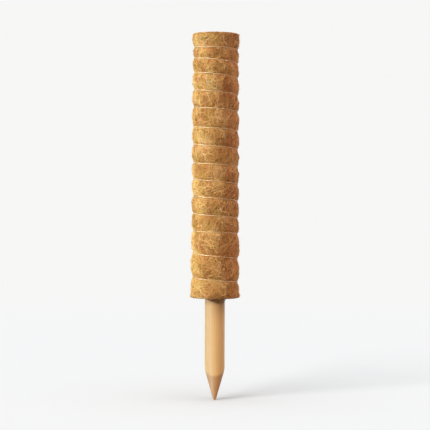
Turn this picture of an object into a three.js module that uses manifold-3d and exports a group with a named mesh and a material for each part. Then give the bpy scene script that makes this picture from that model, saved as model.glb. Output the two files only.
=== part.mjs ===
// Moss pole: a coir body on a plastic tube, bound with one thread, on a pointed wooden stake.
// The origin is on the pole's axis at the coir's bottom, where the soil comes to. +Z is up, the
// coir stands above the origin and the stake reaches below it. -Y is the front. Millimetres.

import * as THREE from 'three';
import { mergeVertices } from 'three/addons/utils/BufferGeometryUtils.js';
import Module from 'manifold-3d';

const wasm = await Module();
wasm.setup();

// Driving dimensions

const coirLength = 288;
const rimDiameter = 51.8;
const footDiameter = 54;
const rimEdge = 1.2;
const footCorner = 2.6;

const stakeDiameter = 22;
const stakeExposed = 112;
const stakeEndChamfer = 1;
const pointLength = 33.5;
const pointTipDiameter = 2.8;
const pointTipRound = 1.2;
const pointOffset = 1.8;

const tubeWall = 1.4;
const tubeTopSetback = 3;
const tubeFootSetback = 4;
const tubeMouthChamfer = 0.5;
const socketSpare = 6;

const threadDiameter = 1.1;
const boundDiameterTop = 47.4;
const boundDiameterFoot = 48.8;
const grooveBank = 0.7;

const bradDiameter = 1.6;
const bradLength = 12;
const bradPoint = 2;

const fitGap = 0.3;
const cutOverrun = 2;

// Counts of facets, turns and rows

const roundFacets = 36;
const threadSteps = 24;
const threadSides = 6;
const cornerSteps = 2;
const grooveRows = 4;
const crownRowShares = [0.16, 0.5, 0.84];
const rowsPerTurn = grooveRows + crownRowShares.length;

// The thread is wound by hand, so its turns are not quite even. These are the heights at which
// it crosses the pole's left and right sides, from the top down, as shares of the coir's
// length. The first and last place only steer the curve beyond the thread's two ends.

const leftHeightShares = [
  0.952, 0.912, 0.857, 0.792, 0.725, 0.652, 0.585, 0.515, 0.453, 0.389, 0.322, 0.256, 0.175,
  0.082, 0.036,
];
const rightHeightShares = [
  0.979, 0.939, 0.886, 0.831, 0.765, 0.703, 0.63, 0.56, 0.495, 0.429, 0.365, 0.3, 0.24, 0.144,
  0.059,
];
const crownShare = 0.11;
const crownRoundness = 2.2;
const rimFlareShare = 0.85;
const footFlareShare = 0.3;
const footBulgeShare = 0.85;
const bradPlaceShares = [0.2, 0.8];

// Sizes that follow

const stakeRadius = stakeDiameter / 2;
const tubeInner = stakeRadius + fitGap;
const tubeOuter = tubeInner + tubeWall;
const tubeTop = coirLength - tubeTopSetback;
const tubeFoot = tubeFootSetback;
const stakeTop = coirLength - stakeExposed - socketSpare;
const threadRadius = threadDiameter / 2;
const turns = leftHeightShares.length - 1;
const startAngle = Math.PI / 2;
const sideHeightShares = leftHeightShares.flatMap((left, index) => [rightHeightShares[index], left]);

// Solids and meshes

/** Revolves a closed or axis-to-axis outline of [radius, height] pairs about +Z. */
function revolve(outline) {
  const points = outline.map(([radius, height]) => new THREE.Vector2(radius, height));
  return new THREE.LatheGeometry(points, roundFacets).rotateX(Math.PI / 2);
}

/** Points of a quarter round from one direction to another, as [radius, height] pairs. */
function quarterRound(centreRadius, centreHeight, size, fromAngle, steps) {
  return Array.from({ length: steps + 1 }, (_, step) => {
    const angle = fromAngle + (step / steps) * (Math.PI / 2);
    return [centreRadius + size * Math.cos(angle), centreHeight + size * Math.sin(angle)];
  });
}

function toSolid(geometry) {
  const bare = geometry.clone();
  bare.deleteAttribute('normal');
  bare.deleteAttribute('uv');
  const merged = mergeVertices(bare);
  return new wasm.Manifold(new wasm.Mesh({
    numProp: 3,
    vertProperties: new Float32Array(merged.attributes.position.array),
    triVerts: new Uint32Array(merged.index.array),
  }));
}

function toGeometry(solid) {
  const { vertProperties, triVerts } = solid.getMesh();
  const geometry = new THREE.BufferGeometry();
  geometry.setAttribute('position', new THREE.BufferAttribute(vertProperties, 3));
  geometry.setIndex(new THREE.BufferAttribute(triVerts, 1));
  return geometry;
}

/** A closed geometry from a flat list of vectors and a flat list of vertex numbers. */
function indexedGeometry(points, triangles) {
  const geometry = new THREE.BufferGeometry().setFromPoints(points);
  geometry.setIndex(triangles);
  return geometry;
}

function around(radius, angle, height) {
  return new THREE.Vector3(radius * Math.cos(angle), radius * Math.sin(angle), height);
}

// The thread's helix

/** The thread's height after a number of turns from its start at the back of the pole. */
function threadHeight(turn) {
  const halfTurns = 2 * turn + 0.5;
  const index = Math.floor(halfTurns);
  const share = halfTurns - index;
  const at = (side) => sideHeightShares[THREE.MathUtils.clamp(side, 0, sideHeightShares.length - 1)];
  const before = at(index);
  const after = at(index + 1);
  const slopeBefore = (after - at(index - 1)) / 2;
  const slopeAfter = (at(index + 2) - before) / 2;
  const square = share * share;
  const cube = square * share;
  return coirLength * (
    before * (2 * cube - 3 * square + 1)
    + slopeBefore * (cube - 2 * square + share)
    + after * (3 * square - 2 * cube)
    + slopeAfter * (cube - square)
  );
}

/** The radius over the bound thread, which is also where the coir's banks start. */
function boundRadius(height) {
  return THREE.MathUtils.lerp(boundDiameterFoot, boundDiameterTop, height / coirLength) / 2;
}

/** The floor of the groove, clear of the thread's flats as well as of its corners. */
function floorRadius(height) {
  const flatOfTurn = (boundRadius(height) - threadRadius) * Math.cos(Math.PI / threadSteps);
  return flatOfTurn - threadRadius - fitGap;
}

// Coir body

/** One upright line of the coir's skin, from the top edge down to the bottom edge. Each point
 *  has a row number that goes on from turn to turn along the thread, as its helix does. */
function coirColumn(angle, firstTurn) {
  const skin = [];
  const add = (row, radius, height) => skin.push({ row, point: around(radius, angle, height) });
  const rimRadius = rimDiameter / 2;
  const footRadius = footDiameter / 2;
  const floorHalf = threadRadius + fitGap;
  const bankHalf = floorHalf + grooveBank;
  const windings = [];
  for (let turn = firstTurn; turn <= turns; turn += 1) {
    windings.push({ row: turn * rowsPerTurn, height: threadHeight(turn) });
  }

  const flareTop = coirLength - rimEdge;
  const flareFoot = windings[0].height + bankHalf;
  const flareRadius = THREE.MathUtils.lerp(boundRadius(flareFoot), rimRadius, rimFlareShare);
  add(-3, rimRadius - rimEdge, coirLength);
  add(-2, rimRadius, flareTop);
  add(-1, flareRadius, (flareTop + flareFoot) / 2);

  windings.forEach(({ row, height }, index) => {
    add(row, boundRadius(height), height + bankHalf);
    add(row + 1, floorRadius(height), height + floorHalf);
    add(row + 2, floorRadius(height), height - floorHalf);
    add(row + 3, boundRadius(height), height - bankHalf);
    if (index === windings.length - 1) {
      return;
    }
    const crownTop = height - bankHalf;
    const crownFoot = windings[index + 1].height + bankHalf;
    crownRowShares.forEach((share, crownRow) => {
      const arch = 1 - Math.abs(2 * share - 1) ** crownRoundness;
      const rowHeight = THREE.MathUtils.lerp(crownTop, crownFoot, share);
      const rowRadius = boundRadius(rowHeight) + crownShare * (crownTop - crownFoot) * arch;
      add(row + grooveRows + crownRow, rowRadius, rowHeight);
    });
  });

  const lastRow = skin.at(-1).row;
  const lastBank = skin.at(-1).point.z;
  const bulgeRadius = THREE.MathUtils.lerp(boundRadius(lastBank), footRadius, footBulgeShare);
  add(lastRow + 1, bulgeRadius, THREE.MathUtils.lerp(lastBank, footCorner, footFlareShare));
  const corner = quarterRound(footRadius - footCorner, footCorner, footCorner, -Math.PI / 2, cornerSteps);
  corner.reverse().forEach(([radius, height], step) => {
    add((turns + 1) * rowsPerTurn + step, radius, height);
  });
  return skin;
}

/** The bore of one upright line: in over the stake, out under the tube and up to the top. */
function boreColumn(angle) {
  const ledge = tubeFoot - fitGap;
  return [
    around(stakeRadius + fitGap, angle, 0),
    around(stakeRadius + fitGap, angle, ledge),
    around(tubeOuter + fitGap, angle, ledge),
    around(tubeOuter + fitGap, angle, coirLength),
  ];
}

/** Joins two neighbouring upright lines of skin into a strip, always stepping down the one
 *  whose next point comes first in the rows, so that the rows run along the thread's groove. */
function stripTriangles(left, right) {
  const triangles = [];
  let a = 0;
  let b = 0;
  while (a < left.length - 1 || b < right.length - 1) {
    const leftNext = left[a + 1]?.row ?? Infinity;
    const rightNext = right[b + 1]?.row ?? Infinity;
    if (leftNext < rightNext) {
      triangles.push(left[a].vertex, left[a + 1].vertex, right[b].vertex);
      a += 1;
    } else {
      triangles.push(left[a].vertex, right[b + 1].vertex, right[b].vertex);
      b += 1;
    }
  }
  return triangles;
}

function coirGeometry() {
  const points = [];
  const columns = [];
  for (let column = 0; column < roundFacets; column += 1) {
    const firstTurn = column / roundFacets;
    const angle = startAngle + firstTurn * 2 * Math.PI;
    columns.push({
      skin: coirColumn(angle, firstTurn).map(({ row, point }) => ({ row, vertex: points.push(point) - 1 })),
      bore: boreColumn(angle).map((point) => ({ vertex: points.push(point) - 1 })),
    });
  }
  const triangles = columns.flatMap((left, index) => {
    const right = columns[(index + 1) % columns.length];
    const strip = stripTriangles(left.skin, right.skin);
    const leftRing = [left.skin.at(-1), ...left.bore, left.skin[0]];
    const rightRing = [right.skin.at(-1), ...right.bore, right.skin[0]];
    for (let step = 0; step < leftRing.length - 1; step += 1) {
      const [a, b] = [leftRing[step].vertex, leftRing[step + 1].vertex];
      const [c, d] = [rightRing[step + 1].vertex, rightRing[step].vertex];
      strip.push(a, b, c, a, c, d);
    }
    return strip;
  });
  return indexedGeometry(points, triangles);
}

// Binding thread

/** The middle of the thread, one point for each step of its turns. */
function threadPath() {
  return Array.from({ length: turns * threadSteps + 1 }, (_, step) => {
    const turn = step / threadSteps;
    const height = threadHeight(turn);
    const angle = startAngle + turn * 2 * Math.PI;
    return around(boundRadius(height) - threadRadius, angle, height);
  });
}

/** One closed tube along a path: a ring of corners at each point, and a fan at each end. */
function tubeGeometry(path, radius, sides) {
  const points = [];
  const triangles = [];
  path.forEach((point, index) => {
    const next = path[Math.min(index + 1, path.length - 1)];
    const last = path[Math.max(index - 1, 0)];
    const along = next.clone().sub(last).normalize();
    const outward = new THREE.Vector3(point.x, point.y, 0);
    const sideways = along.clone().cross(outward).normalize();
    const across = sideways.clone().cross(along);
    for (let side = 0; side < sides; side += 1) {
      const angle = (side / sides) * 2 * Math.PI;
      points.push(point.clone()
        .addScaledVector(across, radius * Math.cos(angle))
        .addScaledVector(sideways, radius * Math.sin(angle)));
    }
  });
  for (let ring = 0; ring < path.length - 1; ring += 1) {
    for (let side = 0; side < sides; side += 1) {
      const a = ring * sides + side;
      const b = ring * sides + ((side + 1) % sides);
      triangles.push(a, b, b + sides, a, b + sides, a + sides);
    }
  }
  const lastRing = (path.length - 1) * sides;
  for (let side = 1; side < sides - 1; side += 1) {
    triangles.push(0, side + 1, side);
    triangles.push(lastRing, lastRing + side, lastRing + side + 1);
  }
  return indexedGeometry(points, triangles);
}

/** The least gap of the thread to itself, between points at least half a turn apart. */
function leastSelfGap(path) {
  let least = Infinity;
  path.forEach((point, index) => {
    for (let other = index + threadSteps / 2; other < path.length; other += 1) {
      least = Math.min(least, point.distanceTo(path[other]));
    }
  });
  return least - threadDiameter;
}

// Tube, stake and brads

function tubeSolid() {
  return toSolid(revolve([
    [tubeInner, tubeFoot],
    [tubeOuter, tubeFoot],
    [tubeOuter, tubeTop],
    [tubeInner + tubeMouthChamfer, tubeTop],
    [tubeInner, tubeTop - tubeMouthChamfer],
    [tubeInner, tubeFoot],
  ]));
}

/** The stake is a round dowel, sharpened a little off its centre, so that the shoulder of the
 *  point dips at the front. */
function stakeSolid() {
  const dowel = toSolid(revolve([
    [0, -stakeExposed - cutOverrun],
    [stakeRadius, -stakeExposed - cutOverrun],
    [stakeRadius, stakeTop - stakeEndChamfer],
    [stakeRadius - stakeEndChamfer, stakeTop],
    [0, stakeTop],
  ]));
  const tipRadius = pointTipDiameter / 2;
  const taper = (stakeRadius - tipRadius) / pointLength;
  const widest = stakeRadius + pointOffset + cutOverrun;
  const round = quarterRound(
    tipRadius - pointTipRound, pointTipRound - stakeExposed, pointTipRound, -Math.PI / 2, cornerSteps,
  );
  const sharpener = toSolid(revolve([
    [0, -stakeExposed],
    ...round,
    [widest, (widest - tipRadius) / taper - stakeExposed],
    [widest, stakeTop + cutOverrun],
    [0, stakeTop + cutOverrun],
  ])).translate(0, -pointOffset, 0);
  return dowel.intersect(sharpener);
}

/** Where a brad lies: its own +Z points out of the pole, and its end is just below the tube. */
function bradPlace(share, angle) {
  const height = THREE.MathUtils.lerp(tubeFoot, stakeTop, share);
  const outward = around(1, angle, 0);
  const turn = new THREE.Quaternion().setFromUnitVectors(new THREE.Vector3(0, 0, 1), outward);
  const tip = tubeOuter - fitGap - bradLength;
  return new THREE.Matrix4().compose(around(tip, angle, height), turn, new THREE.Vector3(1, 1, 1));
}

function bradGeometry() {
  const radius = bradDiameter / 2;
  return revolve([[0, 0], [radius, bradPoint], [radius, bradLength], [0, bradLength]]);
}

function bradHoleSolid(place) {
  const radius = bradDiameter / 2 + fitGap;
  const top = bradLength + cutOverrun;
  const hole = revolve([[0, -fitGap], [radius, -fitGap], [radius, top], [0, top]]);
  return toSolid(hole.applyMatrix4(place));
}

// Materials

const coirFibre = new THREE.MeshStandardMaterial({ color: 0xb27c46, roughness: 1, metalness: 0 });
const nylonThread = new THREE.MeshStandardMaterial({ color: 0xeccb94, roughness: 0.35, metalness: 0 });
const turnedWood = new THREE.MeshStandardMaterial({ color: 0xdab078, roughness: 0.5, metalness: 0 });
const greyPlastic = new THREE.MeshStandardMaterial({ color: 0xd9d7d0, roughness: 0.45, metalness: 0 });
const steelWire = new THREE.MeshStandardMaterial({ color: 0xa6a7a8, roughness: 0.3, metalness: 1 });

// Assembly

function namedMesh(name, geometry, material) {
  const mesh = new THREE.Mesh(geometry, material.clone());
  mesh.name = name;
  return mesh;
}

const bradPlaces = [
  { name: 'lower_brad', place: bradPlace(bradPlaceShares[0], startAngle) },
  { name: 'upper_brad', place: bradPlace(bradPlaceShares[1], startAngle + Math.PI) },
];
const drill = (solid) => bradPlaces.reduce((body, { place }) => body.subtract(bradHoleSolid(place)), solid);

const core = new THREE.Group();
core.add(namedMesh('stake', toGeometry(drill(stakeSolid())), turnedWood));
core.add(namedMesh('core_tube', toGeometry(drill(tubeSolid())), greyPlastic));
for (const { name, place } of bradPlaces) {
  const brad = namedMesh(name, bradGeometry(), steelWire);
  brad.applyMatrix4(place);
  core.add(brad);
}

const path = threadPath();
const body = new THREE.Group();
body.add(namedMesh('coir_wrap', coirGeometry(), coirFibre));
body.add(namedMesh('binding_thread', tubeGeometry(path, threadRadius, threadSides), nylonThread));
console.log(`binding_thread: least gap to itself ${leastSelfGap(path).toFixed(2)} mm`);

const mossPole = new THREE.Group();
mossPole.name = 'moss_pole';
mossPole.add(core, body);

export default mossPole;
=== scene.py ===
"""The looks of the moss pole: a coir body bound with nylon thread, on a pointed wooden stake.

All sizes are millimetres in the pole's own frame: +Z is up, the origin is on the axis at the
coir's bottom and -Y is the front. They become metres only where a mesh is written.
"""

import logging
import math
from dataclasses import dataclass, field
from enum import Enum
from functools import partial
from typing import Any, Callable, Sequence

import bpy
import numpy as np
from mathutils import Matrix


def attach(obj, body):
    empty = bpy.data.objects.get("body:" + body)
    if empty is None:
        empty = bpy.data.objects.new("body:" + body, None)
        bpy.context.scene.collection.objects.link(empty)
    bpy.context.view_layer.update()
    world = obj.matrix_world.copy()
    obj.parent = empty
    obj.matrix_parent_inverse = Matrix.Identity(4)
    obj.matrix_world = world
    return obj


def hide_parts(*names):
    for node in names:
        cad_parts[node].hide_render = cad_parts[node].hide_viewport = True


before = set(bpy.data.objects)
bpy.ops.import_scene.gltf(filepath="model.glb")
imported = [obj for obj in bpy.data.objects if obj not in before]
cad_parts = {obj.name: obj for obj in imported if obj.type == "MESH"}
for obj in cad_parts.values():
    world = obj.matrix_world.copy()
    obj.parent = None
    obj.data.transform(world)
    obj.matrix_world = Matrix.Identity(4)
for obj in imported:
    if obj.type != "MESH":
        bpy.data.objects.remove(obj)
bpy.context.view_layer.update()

Array = np.ndarray
LOG = logging.getLogger("moss_pole")
MM = 0.001
TAU = 2 * math.pi
BACK = TAU / 4
BODY = "root"
MEAN_RADIUS = 25.0


class Slot(str, Enum):
    """The record's material slots."""

    COIR = "coir_felt"
    THREAD = "nylon_thread"
    WOOD = "turned_wood"
    TUBE = "grey_tube"
    BRAD = "steel_brad"


# Meshes


@dataclass
class Shape:
    """Points in millimetres, faces by corner number, and values stored on the points."""

    points: Array
    quads: Array
    triangles: Array = field(default_factory=lambda: np.zeros((0, 3), int))
    values: dict[str, Array] = field(default_factory=dict)
    uv: Array | None = None

    def volume(self) -> float:
        """Volume in mm3, a sixth of the sum of each triangle's triple product of its corners."""
        fans = [self.quads[:, [0, 1, 2]], self.quads[:, [0, 2, 3]], self.triangles]
        a, b, c = np.moveaxis(self.points[np.concatenate(fans)], 1, 0)
        return float(np.einsum("ij,ij->", a, np.cross(b, c)) / 6)

    def faced_outwards(self) -> "Shape":
        """The same shape with every face turned over if its volume comes out negative."""
        if self.volume() < 0:
            self.quads = self.quads[:, ::-1]
            self.triangles = self.triangles[:, ::-1]
        return self


def joined(shapes: Sequence[Shape]) -> Shape:
    """Puts several shapes into one, with their corner numbers moved on."""
    starts = np.cumsum([0] + [len(shape.points) for shape in shapes[:-1]])
    return Shape(
        np.concatenate([shape.points for shape in shapes]),
        np.concatenate([shape.quads + start for shape, start in zip(shapes, starts)]),
        np.concatenate([shape.triangles + start for shape, start in zip(shapes, starts)]),
        {
            name: np.concatenate([shape.values[name] for shape in shapes])
            for name in shapes[0].values
        },
    )


def sheet_quads(rows: int, columns: int, close_rows: bool = False) -> Array:
    """Corner numbers of a grid of points whose columns close up on themselves.

    Args:
        rows: Number of rows of points.
        columns: Number of points in a row.
        close_rows: Whether the last row joins the first one.

    Returns:
        One row of four corner numbers for each face.
    """
    row, column = np.meshgrid(
        np.arange(rows if close_rows else rows - 1), np.arange(columns), indexing="ij"
    )
    next_row, next_column = (row + 1) % rows, (column + 1) % columns
    corners = [
        row * columns + column,
        row * columns + next_column,
        next_row * columns + next_column,
        next_row * columns + column,
    ]
    return np.stack(corners, axis=-1).reshape(-1, 4)


def round_angles(columns: int, start: float = 0.0) -> Array:
    """Even angles once round the axis."""
    return start + np.arange(columns) / columns * TAU


def ring_points(radius: Array, angle: Array, height: Array) -> Array:
    """Points at a radius and an angle about the axis: x = r cos a, y = r sin a, z = height."""
    radius, angle, height = np.broadcast_arrays(radius, angle, height)
    return np.stack([radius * np.cos(angle), radius * np.sin(angle), height], axis=-1)


def tubes(paths: Array, radius: Array, sides: int, values: dict[str, Array]) -> Shape:
    """Closed round tubes along many paths at once.

    At each point of a path the ring of corners is the point plus radius times
    (cos a across + sin a sideways). Sideways is the way along crossed with the way out from
    the axis, and across is sideways crossed with the way along.

    Args:
        paths: Points of each path, with shape (paths, steps, 3).
        radius: Radius at each point, with shape (paths, steps).
        sides: Number of corners round a tube.
        values: One value for each path, stored on all its points.

    Returns:
        The tubes in one shape, with flat ends.
    """
    count, steps, _ = paths.shape
    along = np.gradient(paths, axis=1)
    along /= np.linalg.norm(along, axis=-1, keepdims=True)
    outward = paths * [1, 1, 0] + [0, 0, 1e-3]
    sideways = np.cross(along, outward)
    sideways /= np.linalg.norm(sideways, axis=-1, keepdims=True)
    across = np.cross(sideways, along)
    turn = round_angles(sides)
    ring = (
        np.cos(turn)[:, None] * across[:, :, None] + np.sin(turn)[:, None] * sideways[:, :, None]
    )
    points = paths[:, :, None] + radius[:, :, None, None] * ring
    first = (np.arange(count) * steps * sides)[:, None, None]
    quads = sheet_quads(steps, sides)[None] + first
    fan = np.array([[0, side + 1, side] for side in range(1, sides - 1)])
    caps = np.concatenate([fan, fan[:, ::-1] + (steps - 1) * sides])[None] + first
    return Shape(
        points.reshape(-1, 3),
        quads.reshape(-1, 4),
        caps.reshape(-1, 3),
        {name: np.repeat(value, steps * sides) for name, value in values.items()},
    )


def write_piece(
    name: str, shape: Shape, material: bpy.types.Material
) -> bpy.types.Object:
    """Writes a shape as a smooth mesh object that rides on the pole.

    Args:
        name: Name of the piece.
        shape: The shape, in millimetres.
        material: The finish.

    Returns:
        The new object, at the origin.
    """
    shape.faced_outwards()
    mesh = bpy.data.meshes.new(name)
    corners = np.concatenate([shape.quads.ravel(), shape.triangles.ravel()])
    sizes = np.repeat([4, 3], [len(shape.quads), len(shape.triangles)])
    mesh.vertices.add(len(shape.points))
    mesh.loops.add(len(corners))
    mesh.polygons.add(len(sizes))
    mesh.vertices.foreach_set("co", (shape.points * MM).astype(np.float32).ravel())
    mesh.loops.foreach_set("vertex_index", corners.astype(np.int32))
    mesh.polygons.foreach_set("loop_start", (np.cumsum(sizes) - sizes).astype(np.int32))
    mesh.polygons.foreach_set("loop_total", sizes.astype(np.int32))
    mesh.polygons.foreach_set("use_smooth", np.ones(len(sizes), bool))
    if shape.uv is not None:
        layer = mesh.uv_layers.new(name="lie")
        layer.data.foreach_set("uv", shape.uv[corners].astype(np.float32).ravel())
    for value_name, value in shape.values.items():
        stored = mesh.attributes.new(value_name, "FLOAT", "POINT")
        stored.data.foreach_set("value", value.astype(np.float32))
    mesh.update(calc_edges=True)
    mesh.validate()
    mesh.materials.append(material)
    piece = bpy.data.objects.new(name, mesh)
    bpy.context.scene.collection.objects.link(piece)
    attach(piece, BODY)
    LOG.info("%s: %d faces", name, len(sizes))
    return piece


# Curves and relief


def ease(value: Array) -> Array:
    """Rises smoothly from 0 to 1: 3 t squared minus 2 t cubed, with t held from 0 to 1."""
    t = np.clip(value, 0, 1)
    return t * t * (3 - 2 * t)


def relief(
    rng: np.random.Generator, shape: tuple[int, int], step: tuple[float, float], wave: float
) -> Array:
    """Random bumps of about one wavelength, which repeat past every edge of the grid.

    White noise has its Fourier transform weighted by exp(-(ln(f w))^2 / 0.3), where f is the
    frequency and w the wavelength, and the result is divided by its spread.

    Args:
        rng: Source of the random numbers.
        shape: Rows and columns of the grid.
        step: Distance between rows and between columns.
        wave: Wavelength of the bumps.

    Returns:
        Bumps with a mean of 0 and a spread of 1.
    """
    rows = np.fft.fftfreq(shape[0], step[0])[:, None]
    columns = np.fft.rfftfreq(shape[1], step[1])[None]
    frequency = np.hypot(rows, columns)
    frequency[0, 0] = 1e-9
    weight = np.exp(-(np.log(frequency * wave) ** 2) / 0.3)
    bumps = np.fft.irfft2(np.fft.rfft2(rng.standard_normal(shape)) * weight, s=shape)
    return (bumps - bumps.mean()) / bumps.std()


@dataclass(frozen=True)
class Winding:
    """The thread's helix, wound by hand from the top down, so its turns are not quite even."""

    coir_length: float = 288.0
    thread_diameter: float = 1.1
    bound_diameter_top: float = 47.4
    bound_diameter_foot: float = 48.8
    left_shares: tuple[float, ...] = (
        0.952, 0.912, 0.857, 0.792, 0.725, 0.652, 0.585, 0.515, 0.453, 0.389, 0.322, 0.256,
        0.175, 0.082, 0.036,
    )
    right_shares: tuple[float, ...] = (
        0.979, 0.939, 0.886, 0.831, 0.765, 0.703, 0.63, 0.56, 0.495, 0.429, 0.365, 0.3, 0.24,
        0.144, 0.059,
    )

    @property
    def turns(self) -> int:
        """Number of turns of the thread."""
        return len(self.left_shares) - 1

    @property
    def thread_radius(self) -> float:
        """Half the thread's diameter."""
        return self.thread_diameter / 2

    def height(self, turn: Array) -> Array:
        """Height of the thread after a number of turns from its start at the back.

        The places where it crosses the right and the left side are joined by cubics whose
        slope at a place is half the step between the places on either side of it.
        """
        shares = np.stack([self.right_shares, self.left_shares], axis=1).ravel()
        half_turns = 2 * np.asarray(turn, float) + 0.5
        index = np.floor(half_turns).astype(int)
        share = half_turns - index
        last = len(shares) - 1
        before, after = (shares[np.clip(index + side, 0, last)] for side in (0, 1))
        slope_before = (after - shares[np.clip(index - 1, 0, last)]) / 2
        slope_after = (shares[np.clip(index + 2, 0, last)] - before) / 2
        square, cube = share**2, share**3
        return self.coir_length * (
            before * (2 * cube - 3 * square + 1)
            + slope_before * (cube - 2 * square + share)
            + after * (3 * square - 2 * cube)
            + slope_after * (cube - square)
        )

    def bound_radius(self, height: Array) -> Array:
        """Radius over the thread, which runs evenly from the foot's to the top's."""
        share = np.asarray(height) / self.coir_length
        step = self.bound_diameter_top - self.bound_diameter_foot
        return (self.bound_diameter_foot + step * share) / 2


# Materials


def linear(colour: str) -> tuple[float, float, float, float]:
    """A colour written as sRGB hex, such as #C08040, turned to linear light."""
    parts = [int(colour[start : start + 2], 16) / 255 for start in (1, 3, 5)]
    light = [part / 12.92 if part <= 0.04045 else ((part + 0.055) / 1.055) ** 2.4 for part in parts]
    return (*light, 1.0)


def scale_of(size_mm: float) -> float:
    """A texture's scale for a pattern of about this size: one over the size in metres."""
    return 1 / (size_mm * MM)


def add_node(
    tree: bpy.types.NodeTree,
    kind: str,
    inputs: dict[str | int, Any] | None = None,
    stops: Sequence[tuple[float, str]] = (),
    **settings: Any,
) -> bpy.types.Node:
    """Adds a shader node with its settings and links.

    Args:
        tree: The node tree.
        kind: The node's type, without its ShaderNode prefix.
        inputs: For each input by name or number, a value, a hex colour, a socket to link, or
            a node whose first output is linked.
        stops: Places and hex colours of a colour ramp.
        settings: Properties of the node.

    Returns:
        The new node.
    """
    node = tree.nodes.new("ShaderNode" + kind)
    for name, value in settings.items():
        setattr(node, name, value)
    for name, value in (inputs or {}).items():
        if isinstance(value, bpy.types.Node):
            value = value.outputs[0]
        if isinstance(value, bpy.types.NodeSocket):
            tree.links.new(value, node.inputs[name])
        else:
            node.inputs[name].default_value = linear(value) if isinstance(value, str) else value
    for index, (place, colour) in enumerate(stops):
        ramp = node.color_ramp.elements
        stop = ramp[index] if index < len(ramp) else ramp.new(place)
        stop.position, stop.color = place, linear(colour)
    return node


def new_material(name: str) -> tuple[bpy.types.Material, Callable[..., bpy.types.Node]]:
    """An empty node material, and add_node for its tree."""
    material = bpy.data.materials.new(name)
    material.use_nodes = True
    material.node_tree.nodes.clear()
    return material, partial(add_node, material.node_tree)


@dataclass(frozen=True)
class CoirFelt:
    """Coir felt: coconut husk fibre needled into a mat. It is a dull dark brown as painted shade
    deep between its strands, so the strands on top stand out."""

    shaded_hollow: str = "#98622F"
    middle: str = "#BC8346"
    lit_crest: str = "#D9A25C"
    clump_mm: float = 3.0
    patch_mm: float = 22.0
    bump_mm: float = 0.5
    roughness: float = 0.92

    def build(self) -> bpy.types.Material:
        """Mixes a fine clump pattern and a broad patch pattern into one ramp of browns."""
        material, node = new_material("needled_coir_felt")
        place = node("TexCoord").outputs["Object"]
        clump = node(
            "TexNoise",
            {"Vector": place, "Scale": scale_of(self.clump_mm), "Detail": 5.0, "Roughness": 0.7},
        )
        patch = node("TexNoise", {"Vector": place, "Scale": scale_of(self.patch_mm), "Detail": 2.0})
        blend = node("MapRange", {"Value": clump, "From Min": 0.3, "From Max": 0.72})
        shade = node("Math", {0: blend, 1: patch}, operation="MULTIPLY")
        # The ramp follows the same clump noise as the bumps: painted shade in the hollows and
        # painted light on the crests, varied at random by the broad patches.
        browns = [(0.0, self.shaded_hollow), (0.3, self.middle), (0.7, self.lit_crest)]
        colour = node("ValToRGB", {"Fac": shade}, browns)
        bump = node("Bump", {"Height": clump, "Distance": self.bump_mm * MM, "Strength": 0.8})
        finish = {"Base Color": colour, "Roughness": self.roughness, "Normal": bump}
        shader = node("BsdfPrincipled", finish | {"Specular IOR Level": 0.2})
        node("OutputMaterial", {"Surface": shader})
        return material


@dataclass(frozen=True)
class CoirFibre:
    """Loose coir strands: stiff, dry, slightly waxy husk fibre. Each strand has its own tone
    from dark brown to straw, and a low gloss that catches the light along it."""

    darkest: str = "#7E481F"
    dark: str = "#BE843F"
    middle: str = "#E3AE63"
    light: str = "#F4CA88"
    straw: str = "#FBDFAF"
    patch_mm: float = 9.0
    streak_mm: float = 2.5
    tone_swing: float = 0.06
    hue_mm: float = 13.0
    hue_swing: float = 0.01
    roughness: float = 0.68

    def build(self) -> bpy.types.Material:
        """Reads each strand's stored tone, shifts it by patches and looks it up in a ramp."""
        material, node = new_material("loose_coir_fibre")
        place = node("TexCoord").outputs["Object"]
        total = node("Attribute", attribute_name="tone").outputs["Fac"]
        middle_share = {"From Min": 0.3, "From Max": 0.7}
        swing = middle_share | {"To Min": -self.tone_swing, "To Max": self.tone_swing}
        for size, detail in ((self.patch_mm, 3.0), (self.streak_mm, 2.0)):
            patch = node("TexNoise", {"Vector": place, "Scale": scale_of(size), "Detail": detail})
            shift = node("MapRange", {"Value": patch} | swing)
            total = node("Math", {0: total, 1: shift})
        tones = [
            (0.0, self.darkest), (0.28, self.dark), (0.55, self.middle), (0.8, self.light),
            (1.0, self.straw),
        ]
        colour = node("ValToRGB", {"Fac": total}, tones)
        patch = node("TexNoise", {"Vector": place, "Scale": scale_of(self.hue_mm), "Detail": 1.5})
        turn = {"To Min": 0.5 - self.hue_swing, "To Max": 0.5 + 0.7 * self.hue_swing}
        hue = node("MapRange", {"Value": patch} | middle_share | turn)
        tinted = node("HueSaturation", {"Hue": hue, "Color": colour})
        finish = {"Base Color": tinted, "Roughness": self.roughness, "Specular IOR Level": 0.35}
        node("OutputMaterial", {"Surface": node("BsdfPrincipled", finish)})
        return material


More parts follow.
